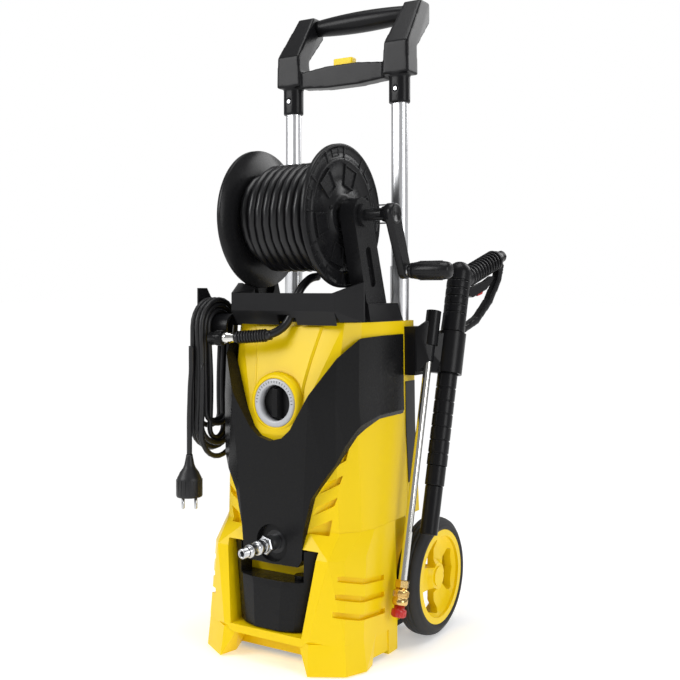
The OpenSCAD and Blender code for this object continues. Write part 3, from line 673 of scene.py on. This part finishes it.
class WASHER_OT_hose(bpy.types.Operator):
    """Winds the high-pressure hose on its drum and leads its end out over the tray"""

    bl_idname = "washer.hose"
    bl_label = "Hose"

    def execute(self, context):
        thick = context.scene.washer_sizes.hose_diameter
        cord_piece("hose_turns", winding_route(), thick, "hose", "reel", "black_rubber", ("hose_winding",),
                   far_end="object", stiffness="stiff", lay="coiled")
        end = smooth_path(HOSE_ROUTE, 4)
        sleeve = self.sleeve()
        coupling = self.coupling()
        cord_piece("hose_end", end, thick, "hose", "washer", "black_rubber", ("hose_tail",),
                   far_end="fitting", stiffness="stiff", lay="hanging", with_pieces=[sleeve, coupling])
        return {"FINISHED"}

    def sleeve(self):
        """The ribbed sleeve that keeps the hose from kinking behind its coupling."""
        start, end = at(*SLEEVE_START), at(*SLEEVE_END)
        along = (end - start).normalized()
        length = (end - start).length / MM
        core = turned("sleeve_core", [(-6, 0), (-6, 7.2), (0, 7.6), (length - 4, 7.6), (length, 7.4),
                                      (length, 0)],
                      start, along, 32, "hose")
        rib = turned("sleeve_rib", [(0, 7), (0, 9.0), (0.6, 9.6), (1.8, 9.6), (2.4, 9.0), (2.4, 7)], ORIGIN,
                     UP, 32)
        ribs = repeated(rib, 11, (0, 0, 4.3 * MM), "hose", True, axis_frame(start + along * 2 * MM, along))
        return join("hose_sleeve_ribbed", [core, ribs], "washer", "black_rubber", "hose_sleeve")

    def coupling(self):
        """The screw coupling that goes on the spray gun."""
        start, end = at(*SLEEVE_END), at(*COUPLING_END)
        along = (end - start).normalized()
        metal = turned("coupling_metal", [
            (-1, 0), (-1, 6.2), (4, 6.2), (4.6, 7.4), (9, 7.4), (9.5, 8.4), (19, 8.4), (20, 7.6), (21, 7.6),
            (21, 0),
        ], start, along, 40, "chrome")
        nut = turned("coupling_nut", [
            (20, 0), (20, 9.6), (20.8, 10.6), (33, 10.6), (34, 9.6), (34, 9.2), (44, 9.2), (45.2, 8.4),
            (45.2, 6), (36, 5.6), (36, 0),
        ], start, along, 40, "black")
        flutes = teeth("flute", 0.9, 0.6, 1.1, 11, 10.2, 20, "black",
                       axis_frame(start + along * 21.5 * MM, along))
        return join("hose_coupling_end", [metal, nut, flutes], "washer", "chrome", "hose_coupling")


def loop_spot(n):
    """The column of loop n, and the radius of its bend over the hook; every second column runs back."""
    column, k = divmod(n, 3)
    return LOOP_COLUMNS[column], LOOP_RADII[k if column % 2 == 0 else 2 - k]


def foot_share(r):
    """How much of its width over the hook a loop keeps at its foot."""
    return 0.62 + 0.38 * r / LOOP_RADII[-1]


def side_steps(rise=1.0):
    """Along one side of a loop: the share of the way, that share eased at both ends, and the bow."""
    for i in range(1, SIDE_POINTS):
        t = i / SIDE_POINTS * rise
        yield t, t * t * (3 - 2 * t), math.sin(math.pi * t)


def hank_route():
    """Nine loose loops of cord over the hook; they hang to different depths and bow apart on the way down."""
    points = []
    final = len(LOOP_RISES) - 1
    for n, loop_rise in enumerate(LOOP_RISES):
        (x, r), (next_x, next_r) = loop_spot(n), loop_spot(min(n + 1, final))
        low = SADDLE_Z - HANK_DROP + loop_rise
        lean = 2.2 * math.sin(2.3 * n)
        for i in range(BEND_POINTS + 1):
            a = math.pi * (1 - i / BEND_POINTS)
            points.append((x, HANK_Y + r * math.cos(a), SADDLE_Z + r * math.sin(a)))
        narrow = foot_share(r)
        for t, ease, bow in side_steps():
            y = HANK_Y + r * (1 - (1 - narrow) * ease) - 2 * bow
            points.append((x + lean * bow, y, SADDLE_Z + (low - SADDLE_Z) * t))
        end_r, start_r = r * narrow, next_r * foot_share(next_r)
        for i in range(BEND_POINTS + 1):
            t = i / BEND_POINTS
            rr = end_r + (start_r - end_r) * t
            z = low - min(end_r, start_r) * math.sin(math.pi * t)
            points.append((x + (next_x - x) * t, HANK_Y + rr * math.cos(math.pi * t), z))
        for t, ease, bow in side_steps(0.72 if n == final else 1.0):
            y = HANK_Y - start_r - (next_r - start_r) * ease + 1.5 * bow
            points.append((next_x - lean * bow, y, low + (SADDLE_Z - low) * t))
    return [at(*p) for p in points]


class WASHER_OT_mains_cord(bpy.types.Operator):
    """Hangs the mains cord in a hank on its hook, with its plug"""

    bl_idname = "washer.mains_cord"
    bl_label = "Mains cord"

    def execute(self, context):
        thick = context.scene.washer_sizes.cord_diameter
        gland = self.gland()
        plug = self.plug()
        cord_piece("cord_from_gland", smooth_path(LEAD_ROUTE, 5), thick, "cord", "washer", "black_rubber",
                   ("cord_lead",), far_end="bare", stiffness="medium", lay="hanging", with_pieces=[gland])
        cord_piece("cord_loops", hank_route(), thick, "cord", "washer", "black_rubber", ("cord_hank",),
                   far_end="object", stiffness="medium", lay="coiled")
        cord_piece("cord_to_plug", smooth_path(TAIL_ROUTE, 5), thick, "cord", "washer", "black_rubber",
                   ("cord_tail",), far_end="plug", stiffness="medium", lay="hanging", with_pieces=[plug])
        return {"FINISHED"}

    def gland(self):
        """The tapered strain relief under its small box."""
        boot = turned("gland_boot", [(-26, 0), (-26, 8), (-20, 8), (-14, 6.6), (-1, 5.2), (0, 4.8), (0, 0)],
                      at(-134, 178, 400), (0, 0, -1), 24, "cord")
        groove = turned("gland_ring", [(0, 4), (0, 6.4), (1, 6.9), (2, 6.4), (2, 4)], ORIGIN, UP, 24)
        rings = repeated(groove, 4, (0, 0, 4 * MM), "cord", True, axis_frame(at(-134, 178, 403), UP))
        box = wear(soften(clean_copy("gland_box", "cord_gland"), 1.2), "grip")
        return join("cord_gland_boot", [boot, rings, box], "washer", "black_rubber", "cord_gland")

    def plug(self):
        """A round two-pin mains plug with a ribbed body."""
        top = at(-140, 6, 286.9)
        body = turned("plug_body", [
            (-1, 0), (-1, 4.8), (2, 5.2), (14, 7.6), (19, 9.6), (25, 14), (31, 16.8), (33, 18), (36, 18.8),
            (60, 19.6), (61.6, 18.9), (61.8, 16), (60.6, 15.4), (60.6, 0),
        ], top, (0, 0, -1), 48, "cord")
        ribs = teeth("plug_rib", 1.4, 1, 1.5, 22, 18.2, 18, "cord",
                     axis_frame(top - Vector((0, 0, 58 * MM)), UP))
        a = math.radians(32)
        pins = [turned("plug_pin", [(0, 0), (0, 2.4), (17.6, 2.4), (19, 1.4), (19, 0)],
                       at(-140 + side * math.cos(a), 6 + side * math.sin(a), 225.4), (0, 0, -1), 20, "steel")
                for side in (-9.5, 9.5)]
        return join("mains_plug_moulded", [body, ribs, *pins], "washer", "black_rubber", "mains_plug")


# ---------------------------------------------------------------- body

GUN_SEAT, GUN_LEAN, GUN_YAW, RIB_COUNT = (170, 265, 467), 15.6, -8, 11
LANCE_TOP, LANCE_LEAN, LANCE_LENGTH = (150, 237.5, 487.7), 14.7, 388
GROOVE_COUNT, GROOVE_STEPS = 5, 28


class WASHER_OT_casing(bpy.types.Operator):
    """Makes the yellow casing with the raised tongue round its control"""

    bl_idname = "washer.casing"
    bl_label = "Casing"

    def execute(self, context):
        edge = context.scene.washer_sizes.edge / MM
        front = wear(soften(clean_copy("casing_front", "front_cover"), edge, 3, 11.0), "yellow")
        join("casing_front_shell", [front, self.tongue(), self.shroud()], "washer", "yellow_plastic",
             "front_cover")
        rounded("casing_rear", "rear_cover", edge, "washer", "yellow", 3, 14.0)
        rounded("side_inlays", "side_strips", 0.8, "washer", "grey")
        return {"FINISHED"}

    def tongue(self):
        """The raised middle of the front, which narrows down to the control."""
        low, high = at(0, 36.0, 372), at(0, 68.0, 487)
        up, across = (high - low).normalized(), Vector(RIGHT)
        out = across.cross(up)
        sides = [(-57, 112), (57, 112), (46, 62), (41, 30), (40, 12), (36, -2), (-36, -2), (-40, 12),
                 (-41, 30),
                 (-46, 62)]
        rings = [[low + across * (u + math.copysign(grow, u)) * MM + up * v * MM + out * lift * MM
                  for u, v in sides] for lift, grow in ((-2.0, 3.0), (0.6, 3.0), (3.2, 0.0))]
        piece = lofted("tongue", rings, True)
        hole = [(-30, 0), (-30, 35.9), (40, 35.9), (40, 0)]
        carve(piece, turned("control_hole", hole, at(0, 45, 371), FRONT, 96))
        return wear(soften(piece, 1.4, 3, 20.0), "yellow")

    def shroud(self):
        """The collar that stands up round the control's ring."""
        section = [(0, 35.7), (0, 45.0), (6.5, 43.6), (9.6, 41.0), (11.0, 38.4), (11.2, 36.6), (10.4, 35.7)]
        return turned("shroud", section, at(0, 39.5, 371), FRONT, 96, "yellow")


class WASHER_OT_panel(bpy.types.Operator):
    """Makes the black front panel and the detergent tank"""

    bl_idname = "washer.panel"
    bl_label = "Panel and tank"

    def execute(self, context):
        rounded("panel_front", "front_panel", 1.4, "washer", "black", 3, 11.0)
        rounded("tank_shell", "detergent_tank", 2.2, "tank", "black", 3, 14.0)
        return {"FINISHED"}


class WASHER_OT_tray(bpy.types.Operator):
    """Makes the hose tray"""

    bl_idname = "washer.tray"
    bl_label = "Hose tray"

    def execute(self, context):
        rounded("tray_moulding", "top_cover", 1.8, "washer", "grey", 3, 14.0)
        return {"FINISHED"}


class WASHER_OT_wheels(bpy.types.Operator):
    """Makes the wheels: dished hubs and ribbed solid tyres"""

    bl_idname = "washer.wheels"
    bl_label = "Wheels"

    def execute(self, context):
        half = [(2.2, 71.45), (0.8, 74), (0.3, 77), (1.6, 80), (2.2, 80.6), (2.9, 81.4), (4.2, 84.2),
                (7.0, 87.4),
                (11.0, 88.9), (12.4, 89.0), (12.8, 88.2), (13.6, 88.2), (14.0, 89.5), (18.8, 89.7),
                (19.2, 88.9)]
        profile = [*half, *((40 - d, r) for d, r in reversed(half))]
        for side, sign in (("left", -1), ("right", 1)):
            body = "wheel_" + side
            rounded("wheel_hub_" + side, "hub_" + side, 2.0, body, "yellow", 3, 30.0)
            low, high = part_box("tyre_" + side)
            centre = (low + high) / 2
            inner = Vector((low.x if sign > 0 else high.x, centre.y, centre.z))
            tyre = turned("tyre_tread_" + side, profile, inner, (sign, 0, 0), 128)
            place(tyre, body, "tyre", ("tyre_" + side,))
        return {"FINISHED"}


class WASHER_OT_reel(bpy.types.Operator):
    """Makes the reel: moulded side discs, arms and crank"""

    bl_idname = "washer.reel"
    bl_label = "Hose reel"

    def execute(self, context):
        for side, sign in (("left", -1), ("right", 1)):
            self.disc(side, sign)
            rounded("arm_" + side, "reel_arm_" + side, 2.0, "washer", "reel", 3, 30.0)
        rounded("crank_lever", "crank_arm", 3.0, "reel", "reel", 3, 30.0)
        self.crank_details()
        return {"FINISHED"}

    def disc(self, side, sign):
        """A side disc with a raised rim, pressed windows, and rings of lugs, short ribs and nubs."""
        face, out = at(sign * 76, REEL_Y, REEL_Z), (sign, 0, 0)
        disc = turned("disc", [
            (-6, 12.05), (-6, 104.6), (-5.4, 105), (0.2, 105), (0.8, 104.4), (0.8, 101.6), (0.2, 101),
            (-1.2, 101), (-1.2, 84.4), (-0.4, 84), (0, 83.4), (0, 81), (-0.4, 80.4), (-1.6, 80), (-1.6, 34),
            (0, 33), (0.6, 30), (0.6, 12.05),
        ], face, out, 128, "reel")
        window = self.window("window", [(44, -13), (74, -17), (74, 17), (44, 13)], 1.6, 2.4)
        lug = self.window("lug", [(87, -9), (98.5, -10), (98.5, 10), (87, 9)], 1.2, 1.4)
        rib = self.bar("rib", 82, 101, 1.6, 1.0)
        nub = turned("nub", [(-1.8, 0), (-1.8, 3.2), (0.4, 2.8), (0.8, 2.2), (0.8, 0)], (0.036, 0, 0), UP, 16)
        rings = [ring_of(piece, count, "reel", axis_frame(face, out, turn))
                 for piece, count, turn in ((window, 6, 14), (lug, 6, 44), (rib, 12, 29), (nub, 3, 44))]
        join("disc_moulded_" + side, [disc, *rings], "reel", "grey_plastic", "reel_disc_" + side)

    def window(self, name, corners, wall, height):
        """A raised outline with a flat sunk floor, on local XY, in millimetres."""
        centre = Vector((sum(p[0] for p in corners) / 4, sum(p[1] for p in corners) / 4))

        def ring(inwards, z):
            moved = [Vector(p) + (centre - Vector(p)).normalized() * inwards * 1.3 for p in corners]
            return [(p.x * MM, p.y * MM, z * MM) for p in moved]

        return lofted(name, [ring(-0.6, -2.0), ring(-0.3, height - 1.9), ring(0, height - 1.6),
                             ring(wall, height - 1.6), ring(wall + 0.4, height - 2.0),
                             ring(wall + 1.0, -1.5)])

    def bar(self, name, r0, r1, width, height):
        """A low rib along local X that narrows towards its top."""
        corners = ((r0, -width), (r1, -width), (r1, width), (r0, width))
        return lofted(name, [[(r * MM, w * share * MM, z * MM) for r, w in corners]
                             for share, z in ((1, -1.6), (0.7, height - 1))])

    def crank_details(self):
        """The finned boss on the crank's hub and its ribbed, swollen grip."""
        hub = at(162, REEL_Y, REEL_Z)
        boss = turned("crank_boss", [
            (-20, 0), (-20, 11), (-12, 13), (-11.9, 15.2), (0, 15.2), (1.2, 14), (1.2, 10), (0.4, 9.6),
            (0.4, 0),
        ], hub, RIGHT, 48, "reel")
        fins = teeth("fin", 1.2, 0.9, 2.0, 16, 12, 6, "reel", axis_frame(hub - Vector((30 * MM, 0, 0)),
                                                                         RIGHT))
        join("crank_hub", [boss, fins], "reel", "black_plastic")
        low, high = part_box("crank_grip")
        c = (low + high) / 2
        start = Vector((low.x, c.y, c.z))
        grip = turned("crank_handle_grip", [
            (0, 5.2), (0, 10.0), (0.8, 11.0), (4, 11.6), (5, 10.9), (6, 11.7), (10, 12.4), (18, 13.3),
            (34, 13.9), (50, 13.5), (58, 12.6), (62, 11.6), (64.4, 9.8), (65.4, 7.6), (65.5, 0),
        ], start, RIGHT, 64, "reel")
        ribs = teeth("grip_rib", 0.8, 0.5, 0.9, 36, 13.2, 16, "reel",
                     axis_frame(start + Vector((16 * MM, 0, 0)), RIGHT))
        join("crank_grip_ribbed", [grip, ribs], "crank_handle", "black_plastic", "crank_grip")


class WASHER_OT_handle(bpy.types.Operator):
    """Makes the telescopic handle's frame, grip and button, the cord hook and the tool holder"""

    bl_idname = "washer.handle"
    bl_label = "Handle"

    def execute(self, context):
        bow = melted("handle_bow", "handle_frame", 1.8, 8)
        pocket = [(-18.2, -8.2), (18.2, -8.2), (18.2, 8.2), (-18.2, 8.2)]
        carve(bow, slab("button_pocket", pocket, 50, at(0, 222, 880), UP, BACK))
        place(bow, "handle", "grip", ("handle_frame",))
        low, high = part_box("handle_grip")
        c = (low + high) / 2
        length = (high.x - low.x) / MM
        swell = [(length * i / 24, 13.2 + 4.3 * math.sin(math.pi * i / 24) ** 0.8) for i in range(1, 24)]
        grip = turned("grip_tube", [(0, 0), (0, 13.2), *swell, (length, 13.2), (length, 0)],
                      Vector((low.x, c.y, c.z)), RIGHT)
        place(grip, "handle", "grip", ("handle_grip",))
        rounded("button_cap", "release_button", 2.2, "button", "yellow", 3, 30.0)
        rounded("hook_moulding", "cord_hook", 1.4, "washer", "grip", 2, 24.0)
        rounded("holder_moulding", "tool_holder", 1.6, "washer", "grip", 2, 24.0)
        return {"FINISHED"}


class WASHER_OT_control(bpy.types.Operator):
    """Makes the control's silver ring with its marks, and its knob"""

    bl_idname = "washer.control"
    bl_label = "Control"

    def execute(self, context):
        centre = at(0, 45.6, 371)
        section = [(0, 25.8), (0, 35.4), (15.4, 35.4), (17.2, 34.6), (17.8, 33.2), (17.8, 28.4), (17.4, 27.2),
                   (16.2, 25.9)]
        ring = turned("ring", section, centre, FRONT, 96, "silver")
        marks = teeth("mark", 0.45, 0.45, 3.2, 0.35, 29.2, 21, "grip",
                      axis_frame(centre - Vector((0, 17.6 * MM, 0)), FRONT, -90), 9)
        join("control_ring", [ring, marks], "washer", "silver_plastic", "knob_ring")
        rounded("control_knob", "power_knob", 1.6, "knob", "black", 3, 30.0)
        return {"FINISHED"}


class WASHER_OT_outlet(bpy.types.Operator):
    """Makes the stepped water outlet"""

    bl_idname = "washer.outlet"
    bl_label = "Outlet"

    def execute(self, context):
        start = at(0, 73.8, 171)
        body = turned("nipple", [
            (0, 3.5), (0, 11), (58, 11), (59, 10.6), (73.8, 10), (74.6, 9.6), (74.6, 9.0), (77, 9.0),
            (77, 10), (86.8, 10), (87.6, 9.2), (88.2, 7.6), (98.2, 7.6), (99.4, 7.8), (100.4, 9.2),
            (104.6, 9.4), (105.6, 8.8), (106.2, 7.0), (120.8, 7.0), (121.8, 6.0), (121.8, 4.2), (120, 3.5),
        ], start, FRONT, 64, "steel")
        nut = turned("nut", [(59.8, 10.6), (59.8, 12.4), (61.2, 13.5), (68.4, 13.5), (69.8, 12.4),
                             (69.8, 10.6)],
                     start, FRONT, 6, "steel", False)
        seal = turned("o_ring", [(109.6, 6.6), (110.2, 7.3), (111.2, 7.5), (112.2, 7.3), (112.8, 6.6)],
                      start, FRONT, 48, "hose")
        join("outlet_nipple", [body, nut, seal], "washer", "chrome", "outlet_fitting")
        return {"FINISHED"}


class WASHER_OT_gun(bpy.types.Operator):
    """Makes the spray gun's moulded body, its ribs and grooves, and its barrel grips"""

    bl_idname = "washer.gun"
    bl_label = "Spray gun"

    def execute(self, context):
        lean, yaw = math.radians(-GUN_LEAN), math.radians(GUN_YAW)
        frame = Matrix.Translation(at(*GUN_SEAT)) @ Matrix.Rotation(lean, 4, "X") @ Matrix.Rotation(yaw, 4,
                                                                                                    "Z")
        gun = melted("gun_moulding", "gun_body", 1.6, 9)
        carve(gun, self.trigger_room(frame))
        carve(gun, self.grooves(frame))
        wear(gun, "grip")
        start, end = Vector((0, 22, 97.4)) * MM, Vector((0, 94, 146)) * MM
        rib = turned("handle_rib", [(-2.3, 14.4), (-1.6, 16.2), (-0.8, 16.9), (0.8, 16.9), (1.6, 16.2),
                                    (2.3, 14.4)],
                     ORIGIN, UP, 40)
        step = (end - start).length / (RIB_COUNT - 1)
        ribs = repeated(rib, RIB_COUNT, (0, 0, step), "grip", True, frame @ axis_frame(start, end - start))
        carve(ribs, self.trigger_room(frame))
        wear(ribs, "grip")
        join("gun_moulded", [gun, ribs], "gun", "black_plastic", "gun_body")
        rounded("barrel_sleeve", "barrel_grip", 1.0, "gun", "grip", 2, 30.0)
        rounded("barrel_rings", "barrel_collars", 1.6, "gun", "grip", 3, 30.0)
        return {"FINISHED"}

    def trigger_room(self, frame):
        """The slot that the trigger swings in."""
        outline = [(24, 70), (32, 66), (98, 116), (100, 128), (92, 132), (24, 84)]
        tool = slab("trigger_room", outline, 10, Vector((-5 * MM, 0, 0)), RIGHT, UP)
        tool.data.transform(frame)
        return tool

    def grooves(self, frame):
        """Cuts round the front of the body."""
        angles = [math.pi * (1.02 + 0.96 * i / GROOVE_STEPS) for i in range(GROOVE_STEPS + 1)]
        bm = bmesh.new()
        for n in range(GROOVE_COUNT):
            z = 30 + 13 * n
            rings = [[bm.verts.new((r * MM * math.cos(a), r * MM * math.sin(a),
                                    (z + dz) * MM)) for a in angles]
                     for r, dz in ((17.0, 0), (24, 0), (24, 2.4), (17.0, 2.4))]
            for k in range(4):
                a, b = rings[k], rings[(k + 1) % 4]
                for i in range(GROOVE_STEPS):
                    bm.faces.new((a[i], a[i + 1], b[i + 1], b[i]))
            bm.faces.new([ring[0] for ring in rings])
            bm.faces.new([ring[-1] for ring in rings][::-1])
        tool = facing_out("grooves", bm, False)
        tool.data.transform(frame)
        return tool


class WASHER_OT_lance(bpy.types.Operator):
    """Makes the lance's coupler and nozzle"""

    bl_idname = "washer.lance"
    bl_label = "Lance"

    def execute(self, context):
        lean = math.radians(LANCE_LEAN)
        down = Vector((0, -math.sin(lean), -math.cos(lean)))
        end = at(*LANCE_TOP) + down * LANCE_LENGTH * MM
        nut = turned("coupler_nut", [(0.1, 5.2), (0.1, 9.4), (1.4, 10.6), (10.6, 10.6), (11.9, 9.4),
                                     (11.9, 5.2)],
                     end, down, 6, "brass", False)
        sleeve = turned("coupler_sleeve", [
            (12, 5.2), (12, 8.4), (14, 8.6), (14.4, 10.8), (16, 11.4), (24, 11.4), (24.6, 10.2), (26, 10.2),
            (26.6, 11.4), (33, 11.4), (34.6, 10.6), (36, 9.4), (36, 5.2),
        ], end, down, 64, "brass")
        knurl = teeth("knurl", 0.35, 0.15, 0.5, 7.4, 11.3, 44, "brass",
                      axis_frame(end + down * 16.3 * MM, down))
        join("lance_coupler_turned", [nut, sleeve, knurl], "lance", "brass", "lance_coupler")
        tip = turned("nozzle_body", [
            (36.1, 0), (36.1, 7.6), (40.6, 8), (41, 9.8), (42, 10.6), (46, 10.8), (51, 9.8), (52.6, 8.6),
            (52.9, 6), (50, 3.4), (50, 0),
        ], end, down, 48, "red")
        tips = teeth("tooth", 1.3, 0.9, 1.3, 8, 9.7, 12, "red", axis_frame(end + down * 42.5 * MM, down))
        join("lance_nozzle_ribbed", [tip, tips], "lance", "red_plastic", "lance_nozzle")
        return {"FINISHED"}


class WASHER_OT_carried(bpy.types.Operator):
    """Gives the CAD pieces that stay as they are their finishes"""

    bl_idname = "washer.carried"
    bl_label = "Other pieces"

    def execute(self, context):
        paints = {
            "black": ("tank_cap",),
            "grip": ("chassis", "gun_trigger"),
            "reel": ("reel_drum", "reel_axle"),
            "grey": ("switch_unit", "motor_fan", "inlet_fitting"),
            "red": ("trigger_lock",),
            "tube": ("handle_tubes", "guide_tubes"),
            "steel": ("wheel_axle", "crank_pin", "socket_screws", "button_spring"),
            "chrome": ("lance_tube",),
            "cast": ("motor", "pump_body", "pump_head"),
            "brass": ("gun_barrel",),
            "hose": ("front_feet", "outlet_seal"),
        }
        for paint, names in paints.items():
            for name in names:
                if not NODES[name].hide_render:
                    wear(NODES[name], paint)
        return {"FINISHED"}


# ---------------------------------------------------------------- add-on

STEPS = ("stage", "hose", "mains_cord", "casing", "panel", "tray", "wheels", "reel", "handle", "control",
         "outlet",
         "gun", "lance", "carried")


class WASHER_PT_panel(bpy.types.Panel):
    """Lists the sizes, the colours and the pieces"""

    bl_label = "Pressure washer"
    bl_idname = "WASHER_PT_panel"
    bl_space_type = "VIEW_3D"
    bl_region_type = "UI"
    bl_category = "Washer"

    def draw(self, context):
        column = self.layout.column()
        for group in (context.scene.washer_sizes, context.scene.washer_colours):
            for name in group.__annotations__:
                column.prop(group, name)
        for step in STEPS:
            column.operator("washer." + step)


CLASSES = (
    WasherSizes,
    WasherColours,
    WASHER_OT_stage,
    WASHER_OT_hose,
    WASHER_OT_mains_cord,
    WASHER_OT_casing,
    WASHER_OT_panel,
    WASHER_OT_tray,
    WASHER_OT_wheels,
    WASHER_OT_reel,
    WASHER_OT_handle,
    WASHER_OT_control,
    WASHER_OT_outlet,
    WASHER_OT_gun,
    WASHER_OT_lance,
    WASHER_OT_carried,
    WASHER_PT_panel,
)


def register():
    for c in CLASSES:
        bpy.utils.register_class(c)
    bpy.types.Scene.washer_sizes = PointerProperty(type=WasherSizes)
    bpy.types.Scene.washer_colours = PointerProperty(type=WasherColours)


def unregister():
    del bpy.types.Scene.washer_colours
    del bpy.types.Scene.washer_sizes
    for c in reversed(CLASSES):
        bpy.utils.unregister_class(c)


def main():
    register()
    for step in STEPS:
        getattr(bpy.ops.washer, step)()


if __name__ == "__main__":
    main()
